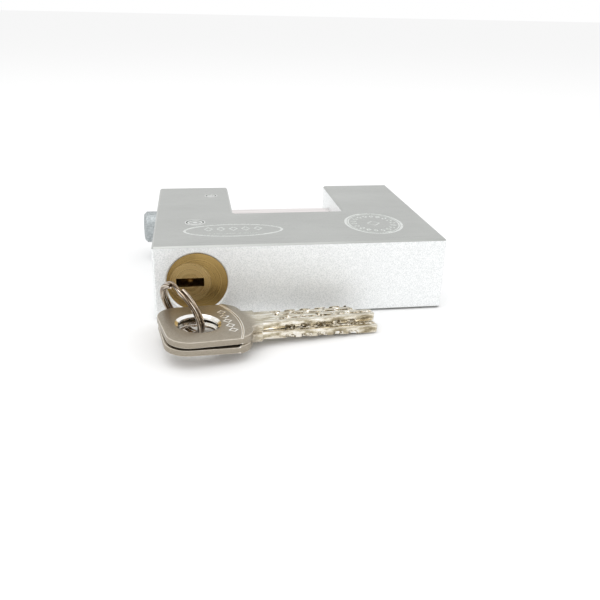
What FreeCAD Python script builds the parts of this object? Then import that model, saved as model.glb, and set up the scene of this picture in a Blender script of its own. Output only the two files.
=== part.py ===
import FreeCAD, Part
import math
import os

# Keyed padlock for a hasp: a flat steel block with a notch in its top edge, crossed by
# a sliding beam. A pin cylinder in the bottom edge turns a tongue that holds the beam.
# X runs along the width, Y from the bottom edge to the notch, Z from the back face up.
# The origin is the centre of the back face. All sizes are in millimetres.

# Lock body
body_width = 94.0
body_height = 76.0
body_thick = 24.0
body_bevel = 0.6
left_tower = 27.0
notch_width = 40.0
notch_depth = 39.5
mouth_bevel = 0.5

# Beam across the notch
beam_dia = 12.0
beam_from_top = 13.5
beam_stand_out = 6.0
beam_engage = 14.0
beam_end_gap = 1.0
beam_bevel = 1.0
beam_travel = 54.0
running_gap = 0.06

# Cylinder in the bottom edge
barrel_dia = 19.0
barrel_length = 34.0
barrel_from_left = 13.5
barrel_recess = 0.4
seat_gap = 0.05
plug_dia = 11.5
plug_offset = 2.2
plug_head_dia = 12.9
plug_head_length = 1.2
plug_tail = 2.2
plug_end_gap = 0.5
keyway_width = 8.7
keyway_height = 2.8
keyway_from_tail = 1.6

# Pins and springs, one stack for each chamber
pin_count = 5
pin_pitch = 5.0
first_pin = 6.4
chamber_dia = 2.8
pin_gap = 0.1
pin_nose_length = 0.65
pin_nose_step = 0.1
nose_sides = 8
key_pin_tips = [0.55, 0.95, 0.7, 1.1, 0.6]
driver_length = 2.0
spring_wire = 0.4
spring_turns = 3.0
coil_sides = 6
spring_gap = 0.12
cover_width = 3.4
cover_thick = 1.0
cover_flat = 0.2

# Turning tail, its tongue and the clip behind the plug
tail_dia = 6.0
tail_gap = 0.3
tang_width = 5.0
tang_thick = 2.0
tang_length = 1.3
tongue_length = 5.6
tongue_width = 2.2
tongue_reach = 2.1
tongue_gap = 0.25
clip_groove_dia = 9.4
clip_dia = 13.2
clip_thick = 0.9
clip_mouth = 5.0

# Flush pin that holds the barrel
barrel_pin_dia = 6.0
barrel_pin_from_bottom = 26.0
barrel_pin_bite = 1.3
face_pin_bevel = 0.35
flush_gap = 0.05

# Sprung pin that holds the beam where it is put
detent_from_left = 20.0
detent_pin_dia = 2.6
detent_pin_length = 1.7
detent_nose_dia = 1.2
detent_nose_length = 0.7
detent_hole_gap = 0.1
detent_plug_dia = 4.0
detent_dimple = 0.3
detent_spring_length = 1.2
detent_spring_wire = 0.35
detent_spring_turns = 2.0

# Keys
key_count = 2
key_thick = 2.4
bow_length = 25.0
bow_width = 25.0
bow_corner = 6.5
bow_face_drop = 0.3
bow_face_end = 2.4
bow_face_radius = 30.0
hole_dia = 11.5
hole_from_end = 10.5
shoulder_length = 3.5
shoulder_width = 11.0
blade_width = 8.2
blade_length = 37.0
blade_tip = 0.9
tip_step_length = 4.5
tip_step_slope = 2.3
tip_nose_width = 3.8
blade_root_radius = 2.0
dimple_dia = 2.8
dimple_flat = 0.4
dimple_depths = [0.75, 0.4, 0.65, 0.3, 0.7]
flank_cut_length = 3.0
flank_cut_slope = 1.0
flank_cut_depth = 0.7
flank_cut_count = 5
flank_cut_pitch = 5.0
hole_from_left = 13.0
hole_from_lock = 21.5
key_turns = [9.0, 12.7]
key_stack_gap = 0.05
floor_gap = 0.02

# Split ring
ring_radius = 8.5
ring_wire_wide = 1.5
ring_wire_thick = 1.0
ring_turn_gap = 0.1
ring_step_angle = 30.0
ring_step_sections = 3
ring_roll = 70.0
ring_direction = 125.0
ring_lean = 18.0
ring_offset = 2.0
ring_key_gap = 0.6

Vec = FreeCAD.Vector
axis_x = Vec(1, 0, 0)
axis_y = Vec(0, 1, 0)
axis_z = Vec(0, 0, 1)

# Places that several pieces share
left_side = -body_width / 2
bottom_side = -body_height / 2
top_side = body_height / 2
mid_z = body_thick / 2
notch_left = left_side + left_tower
notch_right = notch_left + notch_width
notch_floor = top_side - notch_depth
beam_y = top_side - beam_from_top
beam_radius = beam_dia / 2
beam_left = left_side - beam_stand_out
beam_right = notch_right + beam_engage
barrel_x = left_side + barrel_from_left
barrel_front = bottom_side + barrel_recess
barrel_rear = barrel_front + barrel_length
barrel_radius = barrel_dia / 2
plug_x = barrel_x - plug_offset
plug_radius = plug_dia / 2
plug_rear = barrel_rear + plug_tail
cover_top = barrel_x + barrel_radius - cover_flat
cover_bottom = cover_top - cover_thick
tail_end = beam_y - beam_radius - tail_gap
tongue_end = tail_end + tail_gap + tongue_reach
channel_floor = tongue_end + tongue_gap
detent_x = left_side + detent_from_left
detent_foot = mid_z + beam_radius + seat_gap
detent_seat = detent_foot + detent_pin_length + detent_spring_length + 2 * seat_gap
hole_x = left_side + hole_from_left
hole_y = bottom_side - hole_from_lock


# Small helpers

def rod(diameter, start, end):
    span = end - start
    return Part.makeCylinder(diameter / 2, span.Length, start, span)


def block(low, high):
    size = high - low
    return Part.makeBox(size.x, size.y, size.z, low)


def spring(mean_radius, wire, turns, foot, direction, length):
    rise = length - wire
    steps = int(turns * coil_sides)
    points = []
    for step in range(steps + 1):
        angle = 2 * math.pi * step / coil_sides
        height = wire / 2 + rise * step / steps
        points.append(Vec(mean_radius * math.cos(angle), mean_radius * math.sin(angle), height))
    half = wire / 2
    corners = [Vec(-half, 0, -half), Vec(half, 0, -half), Vec(half, 0, half), Vec(-half, 0, half)]
    section = Part.makePolygon([corner + points[0] for corner in corners + corners[:1]])
    turned = Part.makePolygon(points).makePipeShell([section], True, False, 1)
    turned.Placement = FreeCAD.Placement(foot, FreeCAD.Rotation(axis_z, direction))
    return turned


def flat_walls(low_ring, high_ring):
    faces = []
    for side in range(len(low_ring) - 1):
        first = [low_ring[side], low_ring[side + 1], high_ring[side + 1], low_ring[side]]
        second = [low_ring[side], high_ring[side + 1], high_ring[side], low_ring[side]]
        faces.append(Part.Face(Part.makePolygon(first)))
        faces.append(Part.Face(Part.makePolygon(second)))
    return faces


def nose(wide, narrow, length, foot, direction):
    base = []
    tip = []
    for side in range(nose_sides + 1):
        angle = 2 * math.pi * side / nose_sides
        outward = Vec(math.cos(angle), math.sin(angle), 0)
        base.append(outward * wide)
        tip.append(outward * narrow + axis_z * length)
    ends = [Part.Face(Part.makePolygon(base)), Part.Face(Part.makePolygon(tip))]
    point = Part.makeSolid(Part.makeShell(ends + flat_walls(base, tip))).removeSplitter()
    point.Placement = FreeCAD.Placement(foot, FreeCAD.Rotation(axis_z, direction))
    return point


def save(name, shape):
    solid = shape.Solids[0] if len(shape.Solids) == 1 else shape
    solid.exportStep("parts/" + name + ".step")
    print(name, "solids", len(shape.Solids), "volume", round(shape.Volume, 2), "valid", shape.isValid())


# Lock body

def notched_block():
    corners = [
        Vec(left_side, bottom_side, 0),
        Vec(-left_side, bottom_side, 0),
        Vec(-left_side, top_side, 0),
        Vec(notch_right, top_side, 0),
        Vec(notch_right, notch_floor, 0),
        Vec(notch_left, notch_floor, 0),
        Vec(notch_left, top_side, 0),
        Vec(left_side, top_side, 0),
    ]
    outline = Part.makePolygon(corners + corners[:1])
    prism = Part.Face(outline).extrude(axis_z * body_thick)
    return prism.makeChamfer(body_bevel, prism.Edges)


def mouth_cone(bore_radius, mouth, inward):
    wide = bore_radius + mouth_bevel
    return Part.makeCone(wide, bore_radius, mouth_bevel, mouth, inward)


def lock_body():
    bore_radius = beam_radius + running_gap
    bore_end = beam_right + beam_end_gap
    left_mouth = Vec(left_side, beam_y, mid_z)
    barrel_bore_end = plug_rear + plug_end_gap
    barrel_mouth = Vec(barrel_x, bottom_side, mid_z)
    pin_y = bottom_side + barrel_pin_from_bottom
    detent_bore = detent_pin_dia + 2 * detent_hole_gap
    cuts = [
        rod(2 * bore_radius, left_mouth, Vec(bore_end, beam_y, mid_z)),
        mouth_cone(bore_radius, left_mouth, axis_x),
        rod(barrel_dia + 2 * seat_gap, barrel_mouth, Vec(barrel_x, barrel_bore_end, mid_z)),
        mouth_cone(barrel_radius + seat_gap, barrel_mouth, axis_y),
        rod(tail_dia + 2 * running_gap, Vec(plug_x, barrel_bore_end, mid_z), Vec(plug_x, beam_y, mid_z)),
        rod(barrel_pin_dia + 2 * seat_gap, Vec(barrel_x, pin_y, mid_z), Vec(barrel_x, pin_y, body_thick)),
        rod(detent_bore, Vec(detent_x, beam_y, mid_z), Vec(detent_x, beam_y, body_thick)),
        rod(
            detent_plug_dia + 2 * seat_gap,
            Vec(detent_x, beam_y, detent_seat),
            Vec(detent_x, beam_y, body_thick),
        ),
    ]
    body = notched_block()
    for cut in cuts:
        body = body.cut(cut)
    return body


# Beam with the channel that the tongue runs in

def beam():
    bar = rod(beam_dia, Vec(beam_left, beam_y, mid_z), Vec(beam_right, beam_y, mid_z))
    rims = [edge for edge in bar.Edges if abs(edge.Length - math.pi * beam_dia) < 0.01]
    bar = bar.makeChamfer(beam_bevel, rims)
    half_slot = tongue_width / 2 + tongue_gap
    pocket_dia = math.hypot(tongue_length, tongue_width) + 2 * tongue_gap
    open_x = plug_x + beam_travel
    outside = beam_y - beam_radius - tail_gap
    slot = block(Vec(plug_x, outside, mid_z - half_slot), Vec(open_x, channel_floor, mid_z + half_slot))
    bar = bar.cut(slot)
    for x in (plug_x, open_x):
        bar = bar.cut(rod(pocket_dia, Vec(x, outside, mid_z), Vec(x, channel_floor, mid_z)))
    tip = detent_nose_dia / 2
    rise = 2 * detent_dimple
    wide = tip + (detent_pin_dia / 2 - tip) * rise / detent_nose_length
    mouth = Vec(detent_x, beam_y, mid_z + beam_radius - detent_dimple + rise)
    return bar.cut(nose(wide, tip, rise, mouth, axis_z * -1))


# Barrel, plug and what they hold

def pin_places():
    return [barrel_front + first_pin + index * pin_pitch for index in range(pin_count)]


def cylinder_barrel():
    barrel = rod(barrel_dia, Vec(barrel_x, barrel_front, mid_z), Vec(barrel_x, barrel_rear, mid_z))
    plug_bore = plug_dia + 2 * running_gap
    head_bore = plug_head_dia + 2 * running_gap
    head_end = barrel_front + plug_head_length + running_gap
    pin_y = bottom_side + barrel_pin_from_bottom
    pin_bottom = mid_z + barrel_radius - barrel_pin_bite
    pin_bore = barrel_pin_dia + 2 * seat_gap
    cuts = [
        rod(plug_bore, Vec(plug_x, barrel_front, mid_z), Vec(plug_x, barrel_rear, mid_z)),
        rod(head_bore, Vec(plug_x, barrel_front, mid_z), Vec(plug_x, head_end, mid_z)),
        rod(pin_bore, Vec(barrel_x, pin_y, pin_bottom), Vec(barrel_x, pin_y, body_thick)),
        block(
            Vec(cover_bottom, pin_places()[0] - cover_width, mid_z - cover_width / 2),
            Vec(barrel_x + barrel_dia, barrel_rear, mid_z + cover_width / 2),
        ),
    ]
    for y in pin_places():
        cuts.append(rod(chamber_dia, Vec(plug_x, y, mid_z), Vec(cover_bottom, y, mid_z)))
    for cut in cuts:
        barrel = barrel.cut(cut)
    return barrel


def cylinder_plug():
    front = Vec(plug_x, barrel_front, mid_z)
    plug = rod(plug_dia, front, Vec(plug_x, plug_rear, mid_z))
    plug = plug.fuse(rod(plug_head_dia, front, front + axis_y * plug_head_length))
    half_width = keyway_width / 2
    half_height = keyway_height / 2
    groove_front = barrel_rear + running_gap
    groove_rear = groove_front + clip_thick + 2 * running_gap
    groove_foot = Vec(plug_x, groove_front, mid_z)
    groove_end = Vec(plug_x, groove_rear, mid_z)
    groove = rod(plug_head_dia, groove_foot, groove_end).cut(rod(clip_groove_dia, groove_foot, groove_end))
    tang_room = Vec(tang_width / 2 + seat_gap, 0, tang_thick / 2 + seat_gap)
    cuts = [
        block(
            Vec(plug_x - half_width, barrel_front, mid_z - half_height),
            Vec(plug_x + half_width, barrel_rear - keyway_from_tail, mid_z + half_height),
        ),
        groove,
        block(
            Vec(plug_x, plug_rear - tang_length, mid_z) - tang_room,
            Vec(plug_x, plug_rear, mid_z) + tang_room,
        ),
    ]
    for y in pin_places():
        cuts.append(rod(chamber_dia, Vec(plug_x, y, mid_z), Vec(plug_x, y, mid_z - plug_radius)))
    for cut in cuts:
        plug = plug.cut(cut)
    return plug.removeSplitter()


def key_pin(index):
    pin_dia = chamber_dia - 2 * pin_gap
    shear = math.sqrt(plug_radius ** 2 - (pin_dia / 2) ** 2) - running_gap
    y = pin_places()[index]
    neck = Vec(plug_x, y, mid_z - key_pin_tips[index] - pin_nose_length)
    pin = rod(pin_dia, Vec(plug_x, y, mid_z - shear), neck)
    return pin.fuse(nose(pin_dia / 2 - pin_nose_step, pin_dia / 4, pin_nose_length, neck, axis_z))


def driver_pin(index):
    pin_dia = chamber_dia - 2 * pin_gap
    y = pin_places()[index]
    inner = plug_x + plug_radius + 2 * running_gap
    return rod(pin_dia, Vec(inner, y, mid_z), Vec(inner + driver_length, y, mid_z))


def pin_spring(index):
    y = pin_places()[index]
    foot = plug_x + plug_radius + 2 * running_gap + driver_length + spring_gap
    mean_radius = chamber_dia / 2 - pin_gap - spring_wire / 2
    length = cover_bottom - spring_gap - foot
    return spring(mean_radius, spring_wire, spring_turns, Vec(foot, y, mid_z), axis_x, length)


def chamber_cover():
    half = cover_width / 2 - seat_gap
    low = Vec(cover_bottom + seat_gap, pin_places()[0] - cover_width + seat_gap, mid_z - half)
    high = Vec(cover_top, barrel_rear - seat_gap, mid_z + half)
    return block(low, high)


def plug_clip():
    front = Vec(plug_x, barrel_rear + 2 * running_gap, mid_z)
    rear = front + axis_y * clip_thick
    ring = rod(clip_dia, front, rear).cut(rod(clip_groove_dia + 2 * running_gap, front, rear))
    half_mouth = clip_mouth / 2
    mouth = block(
        Vec(plug_x, front.y, mid_z - half_mouth),
        Vec(plug_x + clip_dia, rear.y, mid_z + half_mouth),
    )
    return ring.cut(mouth)


def tail_cam():
    start = Vec(plug_x, plug_rear + seat_gap, mid_z)
    shaft = rod(tail_dia, start, Vec(plug_x, tail_end, mid_z))
    tang = block(
        Vec(plug_x - tang_width / 2, plug_rear - tang_length + seat_gap, mid_z - tang_thick / 2),
        Vec(plug_x + tang_width / 2, start.y, mid_z + tang_thick / 2),
    )
    tongue = block(
        Vec(plug_x - tongue_length / 2, tail_end, mid_z - tongue_width / 2),
        Vec(plug_x + tongue_length / 2, tongue_end, mid_z + tongue_width / 2),
    )
    return shaft.fuse(tang).fuse(tongue)


# Pins that end flush in the front face

def flush_pin(diameter, x, y, bottom):
    top = body_thick - flush_gap
    pin = rod(diameter, Vec(x, y, bottom), Vec(x, y, top))
    rim = [edge for edge in pin.Edges if abs(edge.BoundBox.ZMin - top) < 0.01]
    return pin.makeChamfer(face_pin_bevel, rim)


def barrel_pin():
    bottom = mid_z + barrel_radius - barrel_pin_bite + seat_gap
    return flush_pin(barrel_pin_dia, barrel_x, bottom_side + barrel_pin_from_bottom, bottom)


def detent_plug():
    return flush_pin(detent_plug_dia, detent_x, beam_y, detent_seat + seat_gap)


def detent_pin():
    neck = Vec(detent_x, beam_y, detent_foot + detent_nose_length)
    pin = rod(detent_pin_dia, neck, Vec(detent_x, beam_y, detent_foot + detent_pin_length))
    wide = detent_pin_dia / 2 - pin_nose_step
    return pin.fuse(nose(wide, detent_nose_dia / 2, detent_nose_length, neck, axis_z * -1))


def detent_spring():
    foot = Vec(detent_x, beam_y, detent_foot + detent_pin_length + seat_gap)
    mean_radius = (detent_pin_dia - detent_spring_wire) / 2
    return spring(mean_radius, detent_spring_wire, detent_spring_turns, foot, axis_z, detent_spring_length)


# Keys, drawn flat with the hole's centre at their own origin and their underside at zero

def rounded_plate(length, width, corner, height):
    plate = block(Vec(0, -width / 2, 0), Vec(length, width / 2, height))
    upright = [edge for edge in plate.Edges if edge.BoundBox.ZLength > height / 2]
    return plate.makeFillet(corner, upright)


def key_blank():
    bow = rounded_plate(bow_length, bow_width, bow_corner, key_thick)
    shoulder_end = bow_length + shoulder_length
    blade_end = shoulder_end + blade_length
    nose_side = tip_nose_width - blade_width / 2
    outline = [
        Vec(bow_length - bow_corner, -shoulder_width / 2, 0),
        Vec(shoulder_end, -shoulder_width / 2, 0),
        Vec(shoulder_end, -blade_width / 2, 0),
        Vec(blade_end - blade_tip, -blade_width / 2, 0),
        Vec(blade_end, -blade_width / 2 + blade_tip, 0),
        Vec(blade_end, nose_side - blade_tip, 0),
        Vec(blade_end - blade_tip, nose_side, 0),
        Vec(blade_end - tip_step_length, nose_side, 0),
        Vec(blade_end - tip_step_length - tip_step_slope, blade_width / 2, 0),
        Vec(shoulder_end, blade_width / 2, 0),
        Vec(shoulder_end, shoulder_width / 2, 0),
        Vec(bow_length - bow_corner, shoulder_width / 2, 0),
    ]
    blade = Part.Face(Part.makePolygon(outline + outline[:1])).extrude(axis_z * key_thick)
    key = bow.fuse(blade).removeSplitter()
    corners = [
        edge for edge in key.Edges
        if edge.BoundBox.ZLength > key_thick / 2
        and abs(abs(edge.CenterOfMass.y) - shoulder_width / 2) < 0.01
        and edge.CenterOfMass.x < shoulder_end - 1
    ]
    return key.makeFillet(blade_root_radius, corners)


def bow_faces():
    centre = Vec(bow_length - bow_face_end - bow_face_radius, 0, 0)
    whole = block(Vec(0, -bow_width / 2, 0), Vec(bow_length, bow_width / 2, bow_face_drop))
    lowered = whole.common(Part.makeCylinder(bow_face_radius, bow_face_drop, centre))
    upper = lowered.copy()
    upper.translate(axis_z * (key_thick - bow_face_drop))
    return [lowered, upper]


def dimple(x, depth, face_z, inward):
    radius = dimple_dia / 2 * depth / max(dimple_depths)
    return nose(radius, dimple_flat / 2, depth, Vec(x, 0, face_z), axis_z * inward)


def flank_cut(x, side, low_z, high_z):
    edge = side * blade_width / 2
    floor = edge - side * flank_cut_depth
    outside = edge + side * flank_cut_depth
    half = flank_cut_length / 2
    corners = [
        Vec(x - half + flank_cut_slope, floor, low_z),
        Vec(x + half - flank_cut_slope, floor, low_z),
        Vec(x + half + flank_cut_slope, outside, low_z),
        Vec(x - half - flank_cut_slope, outside, low_z),
    ]
    outline = Part.makePolygon(corners + corners[:1])
    return Part.Face(outline).extrude(axis_z * (high_z - low_z))


def blade_cuts():
    start = bow_length + shoulder_length + first_pin
    cuts = []
    for index, depth in enumerate(dimple_depths):
        x = start + index * pin_pitch
        cuts.append(dimple(x, depth, 0, 1))
        cuts.append(dimple(x, depth, key_thick, -1))
    for index in range(flank_cut_count):
        x = start + (index + 0.5) * flank_cut_pitch
        cuts.append(flank_cut(x, 1, key_thick / 2, key_thick))
        cuts.append(flank_cut(x, -1, 0, key_thick / 2))
    return cuts


def flat_key():
    key = key_blank()
    hole = rod(hole_dia, Vec(hole_from_end, 0, 0), Vec(hole_from_end, 0, key_thick))
    for cut in bow_faces() + blade_cuts() + [hole]:
        key = key.cut(cut)
    key.translate(Vec(-hole_from_end, 0, 0))
    return key.removeSplitter()


def ring_along(turn):
    direction = math.radians(ring_direction - turn)
    return Vec(math.cos(direction), math.sin(direction), 0)


def ring_span():
    along = ring_along(key_turns[0])
    widest = ring_offset + ring_wire_thick + ring_turn_gap / 2
    foot = along.cross(axis_z) * widest + axis_z * (key_thick / 2)
    metal = Part.makeLine(foot, foot + along * bow_length).common(flat_key())
    reach = [(corner.Point - foot).dot(along) for corner in metal.Vertexes]
    return min(reach), max(reach)


def ring_height():
    lean = math.radians(ring_lean)
    outer_radius = ring_radius + ring_wire_wide / 2
    half_thick = ring_wire_thick + ring_turn_gap / 2
    return outer_radius * math.cos(lean) + half_thick * math.sin(lean) + floor_gap


def hole_height():
    lean = math.radians(ring_lean)
    near, far = ring_span()
    half_chord = (far - near) / 2 + ring_key_gap
    inner_radius = ring_radius - ring_wire_wide / 2
    half_thick = ring_wire_thick + ring_turn_gap / 2
    depth = math.sqrt(inner_radius ** 2 - half_chord ** 2)
    return ring_height() - depth * math.cos(lean) + half_thick * math.sin(lean)


def key_tilt():
    key_reach = bow_length + shoulder_length + blade_length - hole_from_end
    return math.degrees(math.asin((hole_height() - floor_gap) / key_reach))


def key(level):
    tilt = FreeCAD.Rotation(axis_y, key_tilt())
    turn = FreeCAD.Rotation(axis_z, key_turns[level])
    lift = FreeCAD.Rotation(axis_z, key_turns[0]).multiply(tilt)
    rise = lift.multVec(axis_z * (level * (key_thick + key_stack_gap)))
    own_turn = FreeCAD.Rotation(axis_z, key_turns[level] - key_turns[0])
    shape = flat_key()
    base = Vec(hole_x, hole_y, hole_height() + floor_gap)
    shape.Placement = FreeCAD.Placement(base + rise, lift.multiply(own_turn)).multiply(shape.Placement)
    return shape


# Split ring, two flat turns with a sloping step between them, leaning on the floor

def ring_section(angle, middle):
    inner = ring_radius - ring_wire_wide / 2
    outer = ring_radius + ring_wire_wide / 2
    low = middle - ring_wire_thick / 2
    high = middle + ring_wire_thick / 2
    corners = []
    for radius, height in ((inner, low), (outer, low), (outer, high), (inner, high)):
        corners.append(Vec(radius * math.cos(angle), radius * math.sin(angle), height))
    return corners + corners[:1]


def flat_turn(middle):
    start = math.radians(ring_step_angle / 2)
    section = Part.Face(Part.makePolygon(ring_section(start, middle)))
    return section.revolve(Vec(0, 0, 0), axis_z, 360 - ring_step_angle)


def split_ring():
    level = (ring_wire_thick + ring_turn_gap) / 2
    half_step = math.radians(ring_step_angle / 2)
    sections = []
    for place in range(ring_step_sections + 1):
        share = 2 * place / ring_step_sections - 1
        sections.append(ring_section(share * half_step, share * level))
    faces = [Part.Face(Part.makePolygon(sections[0])), Part.Face(Part.makePolygon(sections[-1]))]
    for before, after in zip(sections, sections[1:]):
        faces += flat_walls(before, after)
    step = Part.makeSolid(Part.makeShell(faces))
    return flat_turn(-level).fuse(step).fuse(flat_turn(level))


def key_ring():
    along = ring_along(0)
    across = along.cross(axis_z)
    above_keys = ring_height() - hole_height() - key_thick
    aside = across * (ring_offset - above_keys * math.tan(math.radians(ring_lean)))
    near, far = ring_span()
    centre = Vec(hole_x, hole_y, ring_height()) + along * ((near + far) / 2) + aside
    upright = FreeCAD.Rotation(along, axis_z, across, "XYZ")
    lean = FreeCAD.Rotation(along, -ring_lean)
    roll = FreeCAD.Rotation(axis_z, ring_roll)
    ring = split_ring()
    ring.Placement = FreeCAD.Placement(centre, lean.multiply(upright).multiply(roll))
    return ring


os.makedirs("parts", exist_ok=True)
save("lock_body", lock_body())
save("beam", beam())
save("cylinder_barrel", cylinder_barrel())
save("cylinder_plug", cylinder_plug())
for number in range(pin_count):
    save("key_pin_" + str(number + 1), key_pin(number))
    save("driver_pin_" + str(number + 1), driver_pin(number))
    save("pin_spring_" + str(number + 1), pin_spring(number))
save("chamber_cover", chamber_cover())
save("plug_clip", plug_clip())
save("tail_cam", tail_cam())
save("barrel_pin", barrel_pin())
save("detent_plug", detent_plug())
save("detent_pin", detent_pin())
save("detent_spring", detent_spring())
for number in range(key_count):
    save("key_" + str(number + 1), key(number))
save("key_ring", key_ring())
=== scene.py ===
import math

import bpy
from mathutils import Matrix, Vector


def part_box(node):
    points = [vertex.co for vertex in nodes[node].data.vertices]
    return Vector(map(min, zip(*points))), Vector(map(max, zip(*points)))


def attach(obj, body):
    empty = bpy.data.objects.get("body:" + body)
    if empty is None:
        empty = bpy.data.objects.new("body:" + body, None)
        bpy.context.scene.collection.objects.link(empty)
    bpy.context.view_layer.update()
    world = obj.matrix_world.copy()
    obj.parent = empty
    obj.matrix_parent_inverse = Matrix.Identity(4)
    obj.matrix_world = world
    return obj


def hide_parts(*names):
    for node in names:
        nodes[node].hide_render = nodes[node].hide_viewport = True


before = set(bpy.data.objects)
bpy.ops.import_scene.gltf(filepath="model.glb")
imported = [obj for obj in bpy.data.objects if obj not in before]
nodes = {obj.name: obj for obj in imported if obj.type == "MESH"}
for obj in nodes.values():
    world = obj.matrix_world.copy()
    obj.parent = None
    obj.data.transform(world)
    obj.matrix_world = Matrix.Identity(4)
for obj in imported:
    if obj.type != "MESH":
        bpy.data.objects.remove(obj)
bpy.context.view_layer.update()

mm = 0.001

# places read from the frame
bodyLow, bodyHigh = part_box("lock_body")


# middle and half width of a node's box, in mm
def middleOf(name):
    low, high = (Vector(corner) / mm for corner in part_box(name))
    return (low + high) / 2, (high.x - low.x) / 2


# colours are written as sRGB hex and used as linear
def linear(hexColour):
    channels = [int(hexColour[i:i + 2], 16) / 255 for i in (1, 3, 5)]
    return tuple(c / 12.92 if c <= 0.04045 else ((c + 0.055) / 1.055) ** 2.4 for c in channels) + (1.0,)


# adds one node, sets its fields and inputs, and links inputs to (node, output) pairs
def addNode(tree, kind, fields=None, inputs=None, links=None):
    made = tree.nodes.new(kind)
    for name, value in (fields or {}).items():
        setattr(made, name, value)
    for name, value in (inputs or {}).items():
        made.inputs[name].default_value = value
    for name, (source, output) in (links or {}).items():
        tree.links.new(source.outputs[output], made.inputs[name])
    return made


def newMaterial(name):
    material = bpy.data.materials.new(name)
    material.use_nodes = True
    material.node_tree.nodes.clear()
    return material, material.node_tree


# Keys, in mm. One is modelled flat, with the hole's centre at the origin and the blade along +X,
# and each copy is laid where its CAD key lies
key = {
    "thick": 2.4, "bow": 25.0, "corner": 6.5, "holeFromEnd": 10.5, "hole": 11.5, "lip": 0.9,
    "faceDrop": 0.3, "faceEnd": 2.4, "faceRadius": 30.0,
    "shoulder": 11.0, "shoulderLength": 3.5, "blade": 8.2, "bladeLength": 37.0,
    "noseWidth": 3.8, "stepLength": 4.5, "stepSlope": 2.3, "tip": 0.9,
    "dimples": [0.75, 0.4, 0.65, 0.3, 0.7], "firstDimple": 6.4, "pitch": 5.0, "dimple": 2.9,
    "tracks": [(3.0, 0.9), (0.7, 1.1), (-2.1, 1.2)],   # middle and width of each milled track
    "trackDepth": 0.28, "runOut": 7.0, "edge": 0.16,
    # how far the shoulder and the blade reach back into the piece before
    "shoulderRoot": 8.0, "bladeRoot": 2.0, "shoulderRound": 2.0,
    "lipDepth": 0.6, "lipOver": 0.01, "lipInset": 0.02,
    # across the blade, shift along it, and size, for each row of dimples
    "dimpleRows": ((1.5, 0.0, 1.0), (-1.5, 2.4, 0.8)), "dimpleFloor": 0.3, "dimpleOver": 0.02,
    "flankRadius": 2.0, "flankOut": 1.2, "flankAbove": 0.5,
    # where tracks start behind the shoulder, and how much sooner those away from the middle do.
    # Their tools stand high, because the run-out is a bevel of the tool
    "trackStart": 0.4, "trackStagger": 0.3, "trackAbove": 9.0, "trackPast": 8.0,
    # a column of plain lozenges between hole and arc, where the real key is lettered
    "lozenges": 5, "lozengeX": 8.7, "lozengePitch": 3.2, "lozenge": (1.5, 1.4), "line": 0.36, "sunk": 0.07,
}
spare = 1.0        # mm by which cutting tools reach past what they cut
toolAbove = 0.3    # mm by which stamping tools stand over their face


# Split ring, in mm and degrees: a rounded wire spun one turn, a short sloping step, and the
# second turn. Direction and lean are those of the CAD ring
ring = {"radius": 8.5, "wide": 1.5, "thick": 1.0, "gap": 0.1, "round": 0.36, "step": 30.0,
        "turnSteps": 110, "stepSteps": 10, "direction": 125.0, "lean": 18.0, "roll": 70.0}


# a metal's shader and output. Height is in mm, so the bump's distance is one millimetre
def finishMetal(tree, colour, roughness, height):
    bump = addNode(tree, "ShaderNodeBump", {}, {"Strength": 1.0, "Distance": mm}, {"Height": height})
    shader = addNode(tree, "ShaderNodeBsdfPrincipled", {}, {"Metallic": 1.0},
                     {"Base Color": colour, "Roughness": roughness, "Normal": (bump, "Normal")})
    addNode(tree, "ShaderNodeOutputMaterial", links={"Surface": (shader, "BSDF")})


# place in mm, as a vector and as X, Y and Z. Keys and ring keep their flat place in an attribute
def placeOf(tree, attribute=None):
    if attribute:
        source = (addNode(tree, "ShaderNodeAttribute", {"attribute_name": attribute}), "Vector")
    else:
        source = (addNode(tree, "ShaderNodeTexCoord"), "Object")
    scaled = addNode(tree, "ShaderNodeVectorMath", {"operation": "SCALE"}, {"Scale": 1 / mm},
                     {"Vector": source})
    split = addNode(tree, "ShaderNodeSeparateXYZ", links={"Vector": (scaled, "Vector")})
    return (scaled, "Vector"), (split, "X"), (split, "Y"), (split, "Z")


def fillSocket(tree, socket, value):
    if isinstance(value, tuple) and len(value) == 2:
        tree.links.new(value[0].outputs[value[1]], socket)
    else:
        socket.default_value = value


def compute(tree, operation, *values):
    made = addNode(tree, "ShaderNodeMath", {"operation": operation})
    for socket, value in zip(made.inputs, values):
        fillSocket(tree, socket, value)
    return made, 0


# mixes two numbers or two colours, whose sockets lie at different places in the Mix node
def blend(tree, share, first, second, kind="FLOAT"):
    made = addNode(tree, "ShaderNodeMix", {"data_type": kind})
    start = {"FLOAT": 2, "RGBA": 6}[kind]
    fillSocket(tree, made.inputs[0], share)
    fillSocket(tree, made.inputs[start], first)
    fillSocket(tree, made.inputs[start + 1], second)
    return made, {"FLOAT": 0, "RGBA": 2}[kind]


# a soft step from one value to another
def ramp(tree, value, low, high, before=0.0, after=1.0):
    return addNode(tree, "ShaderNodeMapRange", {"interpolation_type": "SMOOTHSTEP"},
                   {"From Min": low, "From Max": high, "To Min": before, "To Max": after},
                   {"Value": value}), "Result"


# 1 where the value is within half of the middle, with a soft edge
def near(tree, value, middle, half, soft=0.15):
    distance = compute(tree, "ABSOLUTE", compute(tree, "SUBTRACT", value, middle))
    return ramp(tree, distance, half, half + soft, 1.0, 0.0)


def largest(tree, first, *others):
    for other in others:
        first = compute(tree, "MAXIMUM", first, other)
    return first


# distance from a centre
def radius(tree, x, y, centre=(0.0, 0.0)):
    parts = []
    for value, middle in zip((x, y), centre):
        shifted = compute(tree, "SUBTRACT", value, middle)
        parts.append(compute(tree, "MULTIPLY", shifted, shifted))
    return compute(tree, "SQRT", compute(tree, "ADD", *parts))


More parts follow.
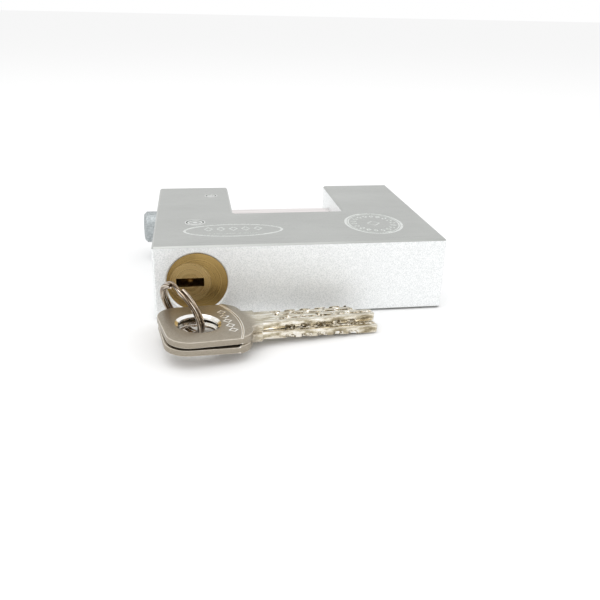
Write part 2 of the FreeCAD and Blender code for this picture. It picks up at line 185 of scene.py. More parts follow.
# size is that of one mark along X, Y and Z in millimetres
def noise(tree, place, size, detail=3.0, roughness=0.6):
    mapped = addNode(tree, "ShaderNodeMapping", {}, {"Scale": tuple(1.0 / one for one in size)},
                     {"Vector": place})
    return addNode(tree, "ShaderNodeTexNoise", {}, {"Scale": 1.0, "Detail": detail, "Roughness": roughness},
                   {"Vector": (mapped, "Vector")}), "Fac"


def colours(tree, value, stops):
    made = addNode(tree, "ShaderNodeValToRGB", links={"Fac": value})
    elements = made.color_ramp.elements
    while len(elements) < len(stops):
        elements.new(0.5)
    for element, (place, hexColour) in zip(elements, stops):
        element.position = place
        element.color = linear(hexColour)
    return made, "Color"


# the burnished rim round each flush pin of the front face
def pinRims(tree, x, y, outwards):
    rims = []
    for name in ("barrel_pin", "detent_plug"):
        middle, half = middleOf(name)
        rims.append(near(tree, radius(tree, x, y, (middle.x, middle.y)), half + outwards, 0.16, 0.12))
    return largest(tree, *rims)


# Plated steel, satin brushed on the broad faces and their bevels, and shot-blasted on the narrow
# faces: the eye sees faint lines along the lock's width, and a bright sparkling grain on its edges
plate = {
    "brushLine": (22.0, 0.34, 8.0),      # mm, coarse enough to show
    "cloud": (30.0, 16.0, 16.0),
    "grain": (0.3, 0.3, 0.3),
    "brush": ("#A7A9A6", "#BFC1BE"),
    "blast": ("#DFE2E2", "#FDFEFE"),
    "rim": "#E9EBE9",
    "grainHeight": 0.10, "brushHeight": 0.006,
    "bevel": 0.55, "bevelSoft": 0.05,    # mm from a broad face to where the blasting begins
    "groundRoughness": (0.26, 0.40), "blastRoughness": 0.5,
    "cloudShare": 0.4, "rimShare": 0.75,
}


def platedSteel():
    material, tree = newMaterial("platedSteelBrushedAndBlasted")
    place, x, y, z = placeOf(tree)
    face = bodyHigh.z / mm
    bevel, soft = plate["bevel"], plate["bevelSoft"]
    front = ramp(tree, z, face - bevel - soft, face - bevel)
    broad = largest(tree, front, ramp(tree, z, bevel, bevel + soft, 1.0, 0.0))
    lines = noise(tree, place, plate["brushLine"], 4.0, 0.7)
    cloud = noise(tree, place, plate["cloud"])
    grain = noise(tree, place, plate["grain"], 3.0, 0.7)
    rims = compute(tree, "MULTIPLY", front, pinRims(tree, x, y, 0.25))
    clouded = blend(tree, plate["cloudShare"], lines, cloud)
    brushed = colours(tree, clouded, list(zip((0.3, 0.7), plate["brush"])))
    blasted = colours(tree, grain, list(zip((0.36, 0.6), plate["blast"])))
    plain = blend(tree, broad, blasted, brushed, "RGBA")
    rims = compute(tree, "MULTIPLY", rims, plate["rimShare"])
    colour = blend(tree, rims, plain, linear(plate["rim"]), "RGBA")
    ground = ramp(tree, lines, 0.3, 0.7, *plate["groundRoughness"])
    roughness = blend(tree, broad, plate["blastRoughness"], ground)
    brushHeight = compute(tree, "MULTIPLY", lines, plate["brushHeight"])
    grainHeight = compute(tree, "MULTIPLY", grain, plate["grainHeight"])
    finishMetal(tree, colour, roughness, blend(tree, broad, grainHeight, brushHeight))
    return material


# Face of the flush pins: ground like the plate, with a bright turned rim and centre mark
def pinSteel():
    material, tree = newMaterial("groundPinSteel")
    place, x, y, _ = placeOf(tree)
    lines = noise(tree, place, (3.0, 0.3, 3.0), 3.0, 0.7)
    plain = colours(tree, lines, list(zip((0.3, 0.7), plate["brush"])))
    centres = []
    for name in ("barrel_pin", "detent_plug"):
        middle, half = middleOf(name)
        centres.append(near(tree, radius(tree, x, y, (middle.x, middle.y)), 0.0, half * 0.22, 0.25))
    bright = largest(tree, pinRims(tree, x, y, -0.75), *centres)
    colour = blend(tree, compute(tree, "MULTIPLY", bright, 0.8), plain, linear(plate["rim"]), "RGBA")
    height = compute(tree, "MULTIPLY_ADD", lines, 0.006, compute(tree, "MULTIPLY", bright, -0.08))
    finishMetal(tree, colour, ramp(tree, lines, 0.3, 0.7, *plate["groundRoughness"]), height)
    return material


# Chrome-plated beam: a mirror bar in the notch, with a blasted end grained like the body's edges but painted
# darker than them, a painted shade
beamLook = {
    # the end's colours are darker than the body's blast: painted shade on the end that stands out of the body
    "bar": ("#DCD7D6", "#F6F1F0"), "end": ("#8A9092", "#C9CECF"), "grain": (0.35, 0.35, 0.35),
    "lineHeight": 0.0015, "grainHeight": 0.12,    # mm
    "roughness": (0.1, 0.42),                     # of the bar and of its end
}


def beamSteel():
    material, tree = newMaterial("polishedBarWithBlastedEnd")
    place, x, _, _ = placeOf(tree)
    side = bodyLow.x / mm
    atEnd = ramp(tree, x, side - 0.3, side - 0.1, 1.0, 0.0)
    lines = noise(tree, place, (30.0, 0.6, 0.6), 4.0, 0.65)
    grain = noise(tree, place, beamLook["grain"], 3.0, 0.7)
    bar = colours(tree, lines, list(zip((0.3, 0.7), beamLook["bar"])))
    end = colours(tree, grain, list(zip((0.36, 0.6), beamLook["end"])))
    lineHeight = compute(tree, "MULTIPLY", lines, beamLook["lineHeight"])
    grainHeight = compute(tree, "MULTIPLY", grain, beamLook["grainHeight"])
    finishMetal(tree, blend(tree, atEnd, bar, end, "RGBA"), blend(tree, atEnd, *beamLook["roughness"]),
                blend(tree, atEnd, lineHeight, grainHeight))
    return material


# Brass turned on a lathe, with fine rings round the piece's own axis
def turnedBrass(name, node, dark, light):
    material, tree = newMaterial(name)
    _, x, y, z = placeOf(tree)
    middle = middleOf(node)[0]
    reach = radius(tree, x, z, (middle.x, middle.z))
    rings = addNode(tree, "ShaderNodeCombineXYZ", links={"X": reach, "Y": y})
    turned = noise(tree, (rings, "Vector"), (0.16, 0.5, 1.0), 3.0, 0.7)
    finishMetal(tree, colours(tree, turned, [(0.3, dark), (0.7, light)]),
                ramp(tree, turned, 0.3, 0.7, 0.24, 0.36), compute(tree, "MULTIPLY", turned, 0.008))
    return material


# Plain metal with fine marks: colour pair, roughness pair, mark size and bump height in mm
def plainMetal(name, dark, light, roughLow, roughHigh, marks, bump):
    material, tree = newMaterial(name)
    place = placeOf(tree)[0]
    fine = noise(tree, place, marks, 5.0, 0.65)
    finishMetal(tree, colours(tree, fine, [(0.3, dark), (0.7, light)]),
                ramp(tree, fine, 0.3, 0.7, roughLow, roughHigh), compute(tree, "MULTIPLY", fine, bump))
    return material


# Nickel silver key: satin speckled bow with a painted highlight along the arc, and a streaky blade whose dark
# to white streaks are partly tool marks and partly painted reflections
keyLook = {
    "bow": [(0.3, "#8D8476"), (0.7, "#B3AA9B")],
    # the blade's stops run from dark to pure white: the streaks are milling marks, and their dark and white
    # ends are painted reflections
    "blade": [(0.30, "#7B6F59"), (0.44, "#B3A88F"), (0.54, "#E8E1D1"), (0.68, "#FFFFFF")],
    # the arc's colour and width are a painted highlight along the step where the lowered bow face ends
    "arcHighlight": "#F6F3EC", "arcHighlightWidth": 0.28, "arcHighlightReach": 0.6,
    "bowHeight": 0.02, "bladeHeight": 0.012,      # mm
}


def keyMetal():
    material, tree = newMaterial("satinNickelKey")
    place, x, y, z = placeOf(tree, "flatPlace")
    bowEnd = key["bow"] - key["holeFromEnd"]
    speck = noise(tree, place, (0.25, 0.25, 0.25), 3.0, 0.7)
    streakAndReflection = noise(tree, place, (5.0, 0.4, 1.5), 4.0, 0.7)
    onBlade = ramp(tree, x, bowEnd - 0.5, bowEnd + 4.0)
    arcPlace = bowEnd - key["faceEnd"] - key["faceRadius"]
    paintedArcHighlight = near(tree, radius(tree, x, y, (arcPlace, 0.0)), key["faceRadius"], keyLook["arcHighlightWidth"])
    # the painted arc highlight shows only near the two faces, not down the side wall
    inside = near(tree, z, key["thick"] / 2, key["thick"] / 2 - keyLook["arcHighlightReach"])
    paintedArcHighlight = compute(tree, "MULTIPLY", paintedArcHighlight, compute(tree, "SUBTRACT", 1.0, inside))
    bow = colours(tree, speck, keyLook["bow"])
    # blade colour: milling streaks with painted dark reflections and painted glints
    blade = colours(tree, streakAndReflection, keyLook["blade"])
    plain = blend(tree, onBlade, bow, blade, "RGBA")
    # paints the bright arc highlight into the colour
    colour = blend(tree, compute(tree, "MULTIPLY", paintedArcHighlight, 0.9), plain, linear(keyLook["arcHighlight"]), "RGBA")
    roughness = blend(tree, onBlade, 0.40, ramp(tree, streakAndReflection, 0.3, 0.7, 0.30, 0.12))
    bowHeight = compute(tree, "MULTIPLY", speck, keyLook["bowHeight"])
    bladeHeight = compute(tree, "MULTIPLY", streakAndReflection, keyLook["bladeHeight"])
    finishMetal(tree, colour, roughness, blend(tree, onBlade, bowHeight, bladeHeight))
    return material


# Cut surfaces of the blade: shiny tool marks, coloured in random blots from near black to white, which are
# painted dark reflections and painted glints
def milledMetalWithPaintedGlints():
    material, tree = newMaterial("milledNickelSilverPaintedGlints")
    place = placeOf(tree, "flatPlace")[0]
    cuts = noise(tree, place, (1.2, 0.35, 0.5), 3.0, 0.6)
    # near black and white stops: painted reflections and painted glints, not set by where hollows and edges
    # are
    stops = [(0.32, "#453A2B"), (0.43, "#96886E"), (0.52, "#E6DFCF"), (0.66, "#FFFFFF")]
    finishMetal(tree, colours(tree, cuts, stops), ramp(tree, cuts, 0.3, 0.7, 0.25, 0.10),
                compute(tree, "MULTIPLY", cuts, 0.04))
    return material


# Split ring wire: drawn spring steel with streaks along the wire, whose near black, brown and white stops are
# painted reflections and highlights as well as drawing marks
def ringWireWithPaintedReflections():
    material, tree = newMaterial("drawnRingWireWithPaintedReflections")
    _, x, y, z = placeOf(tree, "flatPlace")
    along = compute(tree, "MULTIPLY", compute(tree, "ARCTAN2", y, x), ring["radius"])
    drawn = addNode(tree, "ShaderNodeCombineXYZ", links={"X": along, "Y": radius(tree, x, y), "Z": z})
    streakAndReflection = noise(tree, (drawn, "Vector"), (8.0, 0.32, 0.32), 3.0, 0.6)
    # painted dark reflections and painted highlights along the wire
    stops = [(0.34, "#211914"), (0.46, "#6A5949"), (0.55, "#AE9B83"), (0.66, "#F2EDE4")]
    finishMetal(tree, colours(tree, streakAndReflection, stops), ramp(tree, streakAndReflection, 0.3, 0.7, 0.22, 0.10),
                compute(tree, "MULTIPLY", streakAndReflection, 0.01))
    return material


materials = {
    "plated": platedSteel(),
    "beam": beamSteel(),
    "pinFace": pinSteel(),
    "barrel": turnedBrass("turnedBarrelBrass", "cylinder_barrel", "#A88B53", "#C3A76F"),
    "plug": turnedBrass("turnedPlugBrass", "cylinder_plug", "#C2A46B", "#DBC18C"),
    "hard": plainMetal("hardenedSteel", "#7E8082", "#A3A5A7", 0.25, 0.40, (0.5, 0.5, 0.5), 0.005),
    "spring": plainMetal("springSteelWire", "#6E7072", "#9A9C9E", 0.25, 0.40, (0.3, 0.3, 0.3), 0.003),
    "key": keyMetal(),
    # bright faces of the keys' bevels: a painted highlight along every rounded edge, not wear
    "keyEdgeHighlight": plainMetal("brightNickelEdgeHighlight", "#C2B9AA", "#E2DBCE", 0.15, 0.25, (2, 2, 2), 0.001),
    "lip": plainMetal("polishedNickelLip", "#E9E4DA", "#FFFFFF", 0.10, 0.18, (2, 2, 2), 0.001),
    "milled": milledMetalWithPaintedGlints(),
    # stamped lines: groove faces lighter than the plate, a painted highlight on the stamped marks
    "stamped": plainMetal("stampedPlateHighlight", "#D2D5D2", "#E8EBE8", 0.22, 0.34, (1.5, 1.5, 1.5), 0.001),
    "ring": ringWireWithPaintedReflections(),
}
print("materials made")


def wear(obj, material):
    obj.data.materials.clear()
    obj.data.materials.append(material)
    for polygon in obj.data.polygons:
        polygon.material_index = 0


nodeFinish = {
    "lock_body": "plated", "beam": "beam", "barrel_pin": "pinFace", "detent_plug": "pinFace",
    "cylinder_barrel": "barrel", "cylinder_plug": "plug", "chamber_cover": "barrel",
    "plug_clip": "spring", "detent_spring": "spring", "tail_cam": "hard", "detent_pin": "hard",
    "key_1": "keyEdgeHighlight", "key_2": "keyEdgeHighlight", "key_ring": "hard",
}
stackFinish = {"pin_spring": "spring", "driver_pin": "hard", "key_pin": "plug"}
for name, node in nodes.items():
    finish = nodeFinish.get(name) or stackFinish[name.rsplit("_", 1)[0]]
    wear(node, materials[finish])


def clearSelection():
    if bpy.context.object and bpy.context.object.mode != "OBJECT":
        bpy.ops.object.mode_set(mode="OBJECT")
    bpy.ops.object.select_all(action="DESELECT")


def selectOnly(obj):
    clearSelection()
    bpy.context.view_layer.objects.active = obj
    obj.select_set(True)


def cubeAt(name, low, high, material):
    clearSelection()
    bpy.ops.mesh.primitive_cube_add(size=1, location=[(a + b) / 2 * mm for a, b in zip(low, high)])
    obj = bpy.context.active_object
    obj.name = name
    obj.scale = [(b - a) * mm for a, b in zip(low, high)]
    bpy.ops.object.transform_apply(location=True, rotation=True, scale=True)
    wear(obj, material)
    return obj


# a cylinder, or a cone when top is given, upright from low to high about a centre
def roundAt(name, base, low, high, centre, sides, material, top=None):
    clearSelection()
    size = {"vertices": sides, "depth": (high - low) * mm,
            "location": (centre[0] * mm, centre[1] * mm, (low + high) / 2 * mm)}
    if top is None:
        bpy.ops.mesh.primitive_cylinder_add(radius=base * mm, **size)
    else:
        bpy.ops.mesh.primitive_cone_add(radius1=base * mm, radius2=top * mm, **size)
    obj = bpy.context.active_object
    obj.name = name
    bpy.ops.object.transform_apply(location=True, rotation=True, scale=True)
    wear(obj, material)
    return obj


# selects the edges whose two ends, in mm, satisfy wanted(a, b), and stays in edit mode
def pickEdges(obj, wanted):
    selectOnly(obj)
    bpy.ops.object.mode_set(mode="EDIT")
    bpy.ops.mesh.select_mode(type="EDGE")
    bpy.ops.mesh.select_all(action="DESELECT")
    bpy.ops.object.mode_set(mode="OBJECT")
    for edge in obj.data.edges:
        a, b = (obj.data.vertices[v].co / mm for v in edge.vertices)
        edge.select = bool(wanted(a, b))
    bpy.ops.object.mode_set(mode="EDIT")


def bevelEdges(obj, wanted, width, segments):
    pickEdges(obj, wanted)
    bpy.ops.mesh.bevel(offset=width * mm, segments=segments, affect="EDGES")
    clearSelection()


def upright(a, b):
    return abs(a.x - b.x) < 0.001 and abs(a.y - b.y) < 0.001


def applyModifier(obj, kind, **settings):
    selectOnly(obj)
    modifier = obj.modifiers.new(kind.lower(), kind)
    for name, value in settings.items():
        setattr(modifier, name, value)
    bpy.ops.object.modifier_apply(modifier=modifier.name)


def combine(obj, tools, operation):
    for tool in tools:
        applyModifier(obj, "BOOLEAN", operation=operation, object=tool, solver="EXACT",
                      material_mode="TRANSFER")
        bpy.data.objects.remove(tool)


# the mesh's places before it is laid down, for the materials
def keepFlatPlace(obj):
    places = [0.0] * (3 * len(obj.data.vertices))
    obj.data.vertices.foreach_get("co", places)
    obj.data.attributes.new("flatPlace", "FLOAT_VECTOR", "POINT").data.foreach_set("vector", places)


# an outline of even width round an ellipse, or a lozenge with four sides, that cuts a flat face:
# side is 1 for a face that looks up and -1 for one that looks down
def outlineTool(sides, centre, half, turn, face, line, depth, material, side=1):
    clearSelection()
    bpy.ops.mesh.primitive_circle_add(vertices=sides, radius=1, fill_type="NGON")
    obj = bpy.context.active_object
    obj.scale = (half[0] * mm, half[1] * mm, 1)
    obj.rotation_euler.z = turn
    obj.location = (centre[0] * mm, centre[1] * mm, (face - side * depth) * mm)
    bpy.ops.object.transform_apply(location=True, rotation=True, scale=True)
    bpy.ops.object.mode_set(mode="EDIT")
    bpy.ops.mesh.select_mode(type="FACE")
    bpy.ops.mesh.select_all(action="SELECT")
    bpy.ops.mesh.inset(thickness=line * mm, use_even_offset=True)
    bpy.ops.mesh.delete(type="FACE")
    bpy.ops.object.mode_set(mode="OBJECT")
    applyModifier(obj, "SOLIDIFY", thickness=(depth + toolAbove) * mm, offset=side)
    wear(obj, material)
    return obj


def joined(tools):
    selectOnly(tools[0])
    for tool in tools[1:]:
        tool.select_set(True)
    bpy.ops.object.join()
    return tools[0]


def keyBlank():
    bowStart = -key["holeFromEnd"]
    bowEnd = bowStart + key["bow"]
    shoulderEnd = bowEnd + key["shoulderLength"]
    bladeEnd = shoulderEnd + key["bladeLength"]
    half, inner, bladeHalf = key["bow"] / 2, key["shoulder"] / 2, key["blade"] / 2
    thick = key["thick"]
    blank = cubeAt("keyBlank", (bowStart, -half, 0), (bowEnd, half, thick), materials["key"])
    bevelEdges(blank, upright, key["corner"], 12)
    shoulder = cubeAt("shoulder", (bowEnd - key["shoulderRoot"], -inner, 0), (shoulderEnd, inner, thick),
                      materials["key"])
    blade = cubeAt("blade", (shoulderEnd - key["bladeRoot"], -bladeHalf, 0), (bladeEnd, bladeHalf, thick),
                   materials["key"])
    noseSide = key["noseWidth"] - bladeHalf
    step = cubeAt("step", (bladeEnd - key["stepLength"], noseSide, -spare),
                  (bladeEnd + spare, bladeHalf + spare, thick + spare), materials["milled"])
    pickEdges(step, lambda a, b: upright(a, b) and a.y > bladeHalf and a.x < bladeEnd)
    lean = key["stepSlope"] * (bladeHalf + spare - noseSide) / (bladeHalf - noseSide)
    bpy.ops.transform.translate(value=(-lean * mm, 0, 0))
    clearSelection()
    combine(blade, [step], "DIFFERENCE")
    bevelEdges(blade, lambda a, b: upright(a, b) and a.x > bladeEnd - 0.1, key["tip"], 3)
    combine(blank, [shoulder, blade], "UNION")
    bevelEdges(blank, lambda a, b: upright(a, b) and abs(abs(a.y) - inner) < 0.01 and a.x < shoulderEnd - 1,
               key["shoulderRound"], 6)
    return blank, bowEnd, shoulderEnd, bladeEnd


# In the tools of a face, into points from the face into the metal. A cone is widest at the face,
# which is its top on the upper face and its base on the lower one
def faceCone(name, floorRadius, mouthRadius, floor, mouth, into, centre, sides, material):
    low, high = sorted((floor, mouth))
    base, top = (floorRadius, mouthRadius) if into < 0 else (mouthRadius, floorRadius)
    return roundAt(name, base, low, high, centre, sides, material, top)


def trackTools(face, into, shoulderEnd, bladeEnd):
    tools = []
    bottom = face + into * key["trackDepth"]
    low, high = sorted((bottom, face - into * key["trackAbove"]))
    for middle, width in key["tracks"]:
        start = shoulderEnd + key["trackStart"] - abs(middle) * key["trackStagger"]
        track = cubeAt("track", (start, middle - width / 2, low),
                       (bladeEnd + key["trackPast"], middle + width / 2, high), materials["milled"])
        bevelEdges(track, lambda a, b: abs(a.z - bottom) < 0.01 and abs(b.z - bottom) < 0.01
                   and a.x < start + 0.1 and b.x < start + 0.1, key["runOut"], 10)
        tools.append(track)
    return tools


# both rows of dimples, and the cuts between them in the blade's flank
def dimpleTools(face, into, shoulderEnd):
    tools = []
    mouth = face - into * key["dimpleOver"]
    low, high = sorted((face + into * key["thick"] / 2, face - into * key["flankAbove"]))
    flank = -into * (key["blade"] / 2 + key["flankOut"])
    for index, depth in enumerate(key["dimples"]):
        x = shoulderEnd + key["firstDimple"] + index * key["pitch"]
        for y, shift, size in key["dimpleRows"]:
            wide = key["dimple"] / 2 * size * (0.6 + 0.5 * depth)
            floor = face + into * depth * size
            tools.append(faceCone("dimple", key["dimpleFloor"], wide, floor, mouth, into, (x + shift, y), 20,
                                  materials["milled"]))
        tools.append(roundAt("flankCut", key["flankRadius"], low, high, (x + key["pitch"] / 2, flank), 24,
                             materials["milled"]))
    return tools


def lozengeTool(floor, into):
    column = []
    for index in range(key["lozenges"]):
        y = (index - (key["lozenges"] - 1) / 2) * key["lozengePitch"]
        column.append(outlineTool(4, (key["lozengeX"], y), key["lozenge"], 0, floor, key["line"],
                                  key["sunk"], materials["lip"], -into))
    return joined(column)


# the upper and the lower face alike: first the lowered bow, then the hole's lip, tracks,
# dimples and lozenges, which keep sharp edges
def faceTools(bowEnd, shoulderEnd, bladeEnd):
    early, late = [], []
    arcX = bowEnd - key["faceEnd"] - key["faceRadius"]
    hole = key["hole"] / 2
    for face, into in ((key["thick"], -1), (0.0, 1)):
        floor = face + into * key["faceDrop"]
        low, high = sorted((floor, face - into * spare))
        early.append(roundAt("bowFace", key["faceRadius"], low, high, (arcX, 0), 180, materials["key"]))
        late.append(faceCone("lip", hole - key["lipInset"], hole + key["lip"], floor + into * key["lipDepth"],
                             floor - into * key["lipOver"], into, (0, 0), 72, materials["lip"]))
        late.extend(trackTools(face, into, shoulderEnd, bladeEnd))
        late.extend(dimpleTools(face, into, shoulderEnd))
        late.append(lozengeTool(floor, into))
    late.append(roundAt("hole", hole, -spare, key["thick"] + spare, (0, 0), 72, materials["lip"]))
    return early, late


# lowest and highest place of a node along a direction, in mm
def extent(name, direction):
    reach = [vertex.co.dot(direction) / mm for vertex in nodes[name].data.vertices]
    return min(reach), max(reach)


# the direction that most of a node's flat area faces, among those square to the given ones
def broadest(name, square=()):
    sums = {}
    for polygon in nodes[name].data.polygons:
        if all(abs(polygon.normal.dot(other)) < 0.01 for other in square):
            facing = tuple(round(value, 2) for value in polygon.normal)
            sums[facing] = sums.get(facing, Vector()) + polygon.normal * polygon.area
    return max(sums.values(), key=lambda one: one.length).normalized()


# how a CAD key lies: up from its broad face, along its blade and across it, from its hole
def keyPlace(name):
    up = broadest(name)
    if up.z < 0:
        up.negate()
    along = broadest(name, (up,)).cross(up).normalized()
    if along.x < 0:
        along.negate()
    across = up.cross(along)
    hole = (along * (extent(name, along)[0] + key["holeFromEnd"])
            + across * sum(extent(name, across)) / 2 + up * extent(name, up)[0])
    return Matrix.Translation(hole * mm) @ Matrix((along, across, up)).transposed().to_4x4()


def makeKeys():
    blank, bowEnd, shoulderEnd, bladeEnd = keyBlank()
    early, late = faceTools(bowEnd, shoulderEnd, bladeEnd)
    combine(blank, early, "DIFFERENCE")
    # the bevel's new faces take the bright edge material, which paints a highlight along the edges
    blank.data.materials.append(materials["keyEdgeHighlight"])
    applyModifier(blank, "BEVEL", width=key["edge"] * mm, segments=2, limit_method="ANGLE",
                  angle_limit=math.radians(40), material=len(blank.data.materials) - 1,
                  use_clamp_overlap=False)
    combine(blank, late, "DIFFERENCE")
    keepFlatPlace(blank)
    for name in ("key_1", "key_2"):
        copy = bpy.data.objects.new("stampedKey" + name[-1], blank.data.copy())
        bpy.context.scene.collection.objects.link(copy)
        copy.data.transform(keyPlace(name))
        selectOnly(copy)
        bpy.ops.object.shade_smooth_by_angle(angle=math.radians(25))
        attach(copy, "lock_case")
        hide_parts(name)
    bpy.data.objects.remove(blank)
    print("keys made")


def makeRing():
    clearSelection()
    level = (ring["thick"] + ring["gap"]) / 2
    half = math.radians(ring["step"] / 2)
    bpy.ops.mesh.primitive_plane_add(size=1, location=(0, 0, 0), rotation=(math.radians(90), 0, 0))
    obj = bpy.context.active_object
    obj.name = "splitRing"
    obj.scale = (ring["wide"] * mm, ring["thick"] * mm, 1)
    bpy.ops.object.transform_apply(location=True, rotation=True, scale=True)
    start = Matrix.Translation((ring["radius"] * mm, 0, -level * mm))
    obj.data.transform(Matrix.Rotation(half, 4, "Z") @ start)
    bpy.ops.object.mode_set(mode="EDIT")
    bpy.ops.mesh.select_mode(type="VERT")
    bpy.ops.mesh.select_all(action="SELECT")
    bpy.ops.mesh.bevel(offset=ring["round"] * mm, segments=4, affect="VERTICES")
    bpy.ops.mesh.select_all(action="SELECT")
    bpy.ops.mesh.delete(type="ONLY_FACE")
    bpy.ops.mesh.select_all(action="SELECT")
    turn = 2 * math.pi - 2 * half
    pieces = ring["stepSteps"]
    bpy.ops.mesh.spin(steps=ring["turnSteps"], angle=turn, center=(0, 0, 0), axis=(0, 0, 1))
    for _ in range(pieces):
        bpy.ops.mesh.spin(steps=1, angle=2 * half / pieces, center=(0, 0, 0), axis=(0, 0, 1))
        bpy.ops.transform.translate(value=(0, 0, 2 * level * mm / pieces))
    bpy.ops.mesh.spin(steps=ring["turnSteps"], angle=turn, center=(0, 0, 0), axis=(0, 0, 1))
    bpy.ops.mesh.select_all(action="SELECT")
    bpy.ops.mesh.remove_doubles(threshold=0.001 * mm)
    bpy.ops.mesh.select_all(action="DESELECT")
    bpy.ops.mesh.select_non_manifold()
    bpy.ops.mesh.edge_face_add()
    bpy.ops.mesh.select_all(action="SELECT")
    bpy.ops.mesh.normals_make_consistent(inside=False)
    bpy.ops.object.mode_set(mode="OBJECT")
    direction = math.radians(ring["direction"])
    along = Vector((math.cos(direction), math.sin(direction), 0))
    across = along.cross(Vector((0, 0, 1)))
    lean = Matrix.Rotation(math.radians(-ring["lean"]), 4, along)
    stand = lean @ Matrix((along, (0, 0, 1), across)).transposed().to_4x4()
    centre = Vector()
    for index in range(3):
        axis = stand.col[index].to_3d()
        centre += axis * sum(extent("key_ring", axis)) / 2
    roll = Matrix.Rotation(math.radians(ring["roll"]), 4, "Z")
    keepFlatPlace(obj)
    obj.data.transform(Matrix.Translation(centre * mm) @ stand @ roll)
    wear(obj, materials["ring"])
    bpy.ops.object.shade_smooth_by_angle(angle=math.radians(40))
    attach(obj, "lock_case")
    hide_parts("key_ring")
    print("ring made")


# Front face of the body, stamped with an oval and a round outline. They hold plain ornament,
# where the real lock is lettered
stamp = {
    "oval": (-21.0, -22.0), "ovalHalf": (16.5, 7.0),
    "row": 5, "rowPitch": 4.1, "rowUp": 1.6, "rowHalf": (1.6, 2.4),
    "underline": -3.6, "underlineHalf": 8.0,
    "round": (27.5, -18.0), "roundHalf": (10.0, 12.4), "innerShare": 0.89,
    "leaves": 18, "wreathShare": 0.68, "leafHalf": (1.5, 0.95), "gemHalf": (2.4, 3.0),
    "line": 0.9, "fineLine": 0.5, "depth": 0.06,
}


def stampTools():
    face = bodyHigh.z / mm
    line, fine, depth = stamp["line"], stamp["fineLine"], stamp["depth"]
    # the grooves' lighter metal is a painted highlight on the stamped lines
    metal = materials["stamped"]
    x, y = stamp["oval"]
    tools = [outlineTool(96, (x, y), stamp["ovalHalf"], 0, face, line, depth, metal)]
    for index in range(stamp["row"]):
        shift = (index - (stamp["row"] - 1) / 2) * stamp["rowPitch"]
        place = (x + shift, y + stamp["rowUp"])
        tools.append(outlineTool(4, place, stamp["rowHalf"], 0, face, fine, depth, metal))
    low, high = y + stamp["underline"] - fine / 2, y + stamp["underline"] + fine / 2
    tools.append(cubeAt("underline", (x - stamp["underlineHalf"], low, face - depth),
                        (x + stamp["underlineHalf"], high, face + toolAbove), metal))
    x, y = stamp["round"]
    across, up = stamp["roundHalf"]
    for share, width in ((1.0, line), (stamp["innerShare"], fine)):
        tools.append(outlineTool(96, (x, y), (across * share, up * share), 0, face, width, depth, metal))
    for index in range(stamp["leaves"]):
        turn = 2 * math.pi * index / stamp["leaves"]
        place = (x + math.cos(turn) * across * stamp["wreathShare"],
                 y + math.sin(turn) * up * stamp["wreathShare"])
        tools.append(outlineTool(4, place, stamp["leafHalf"], turn, face, fine, depth, metal))
    tools.append(outlineTool(4, (x, y), stamp["gemHalf"], 0, face, fine, depth, metal))
    return joined(tools)


def makeBody():
    body = bpy.data.objects.new("stampedBody", nodes["lock_body"].data.copy())
    bpy.context.scene.collection.objects.link(body)
    selectOnly(body)
    bpy.ops.object.mode_set(mode="EDIT")
    bpy.ops.mesh.select_all(action="SELECT")
    bpy.ops.mesh.remove_doubles(threshold=0.001 * mm)
    bpy.ops.object.mode_set(mode="OBJECT")
    wear(body, materials["plated"])
    combine(body, [stampTools()], "DIFFERENCE")
    selectOnly(body)
    bpy.ops.mesh.customdata_custom_splitnormals_clear()
    bpy.ops.object.shade_smooth_by_angle(angle=math.radians(25))
    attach(body, "lock_case")
    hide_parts("lock_body")
    print("body stamped,", len(body.data.polygons), "faces")


makeKeys()
makeRing()
makeBody()


# Floor and light, in metres. The world lights with one strength and is seen with another
stage = {"size": 60.0, "floor": "#FAFAFA", "below": 0.0002, "light": 0.97, "shown": 1.0,
         "white": (1, 1, 1, 1)}


def makeFloor():
    clearSelection()
    bpy.ops.mesh.primitive_plane_add(size=stage["size"], location=(0, 0, -stage["below"]))
    floor = bpy.context.active_object
    floor.name = "floor"
    material, tree = newMaterial("paleMattFloor")
    shader = addNode(tree, "ShaderNodeBsdfPrincipled", {},
                     {"Base Color": linear(stage["floor"]), "Roughness": 1.0, "Specular IOR Level": 0.0})
    addNode(tree, "ShaderNodeOutputMaterial", links={"Surface": (shader, "BSDF")})
    wear(floor, material)


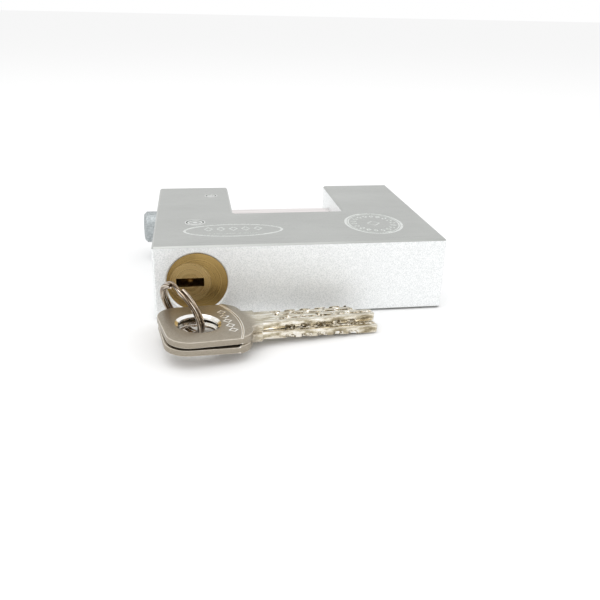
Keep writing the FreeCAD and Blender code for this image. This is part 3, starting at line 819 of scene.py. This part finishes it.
def makeWorld():
    world = bpy.data.worlds.new("paleStudio")
    bpy.context.scene.world = world
    world.use_nodes = True
    tree = world.node_tree
    tree.nodes.clear()
    path = addNode(tree, "ShaderNodeLightPath")
    kinds = ("Is Camera Ray", "Is Glossy Ray", "Is Transmission Ray")
    seen = largest(tree, *((path, kind) for kind in kinds))
    light, shown = (addNode(tree, "ShaderNodeBackground", {},
                            {"Color": stage["white"], "Strength": stage[name]})
                    for name in ("light", "shown"))
    mix = addNode(tree, "ShaderNodeMixShader", links={"Fac": seen})
    tree.links.new(light.outputs[0], mix.inputs[1])
    tree.links.new(shown.outputs[0], mix.inputs[2])
    addNode(tree, "ShaderNodeOutputWorld", links={"Surface": (mix, "Shader")})


def areaLamp(name, place, target, size, power):
    lamp = bpy.data.lights.new(name, "AREA")
    lamp.shape = "SQUARE"
    lamp.size = size
    lamp.energy = power
    obj = bpy.data.objects.new(name, lamp)
    bpy.context.scene.collection.objects.link(obj)
    obj.location = place
    obj.rotation_euler = (Vector(target) - Vector(place)).to_track_quat("-Z", "Y").to_euler()


lens = {"focalPixels": 682.0, "imagePixels": 600.0, "sensor": 36.0,
        "place": (-0.0331, -0.2393, 0.0902), "down": 22.75, "right": 9.1, "roll": 1.21}


def makeCamera():
    data = bpy.data.cameras.new("photoView")
    data.sensor_width = lens["sensor"]
    data.lens = lens["focalPixels"] / lens["imagePixels"] * lens["sensor"]
    data.clip_start = 0.005
    camera = bpy.data.objects.new("photoView", data)
    bpy.context.scene.collection.objects.link(camera)
    aim = Matrix.Rotation(math.radians(-lens["right"]), 4, "Z")
    aim = aim @ Matrix.Rotation(math.radians(90 - lens["down"]), 4, "X")
    aim = aim @ Matrix.Rotation(math.radians(lens["roll"]), 4, "Z")
    camera.matrix_world = Matrix.Translation(lens["place"]) @ aim
    bpy.context.scene.camera = camera


makeFloor()
makeWorld()
areaLamp("softTop", (-0.25, -0.15, 0.9), (0, 0, 0), 0.8, 1.8)
areaLamp("softRight", (0.7, -0.4, 0.5), (0, 0, 0.01), 0.5, 0.8)
makeCamera()
bpy.context.scene.view_settings.view_transform = "Standard"
print("stage, lights and camera made")
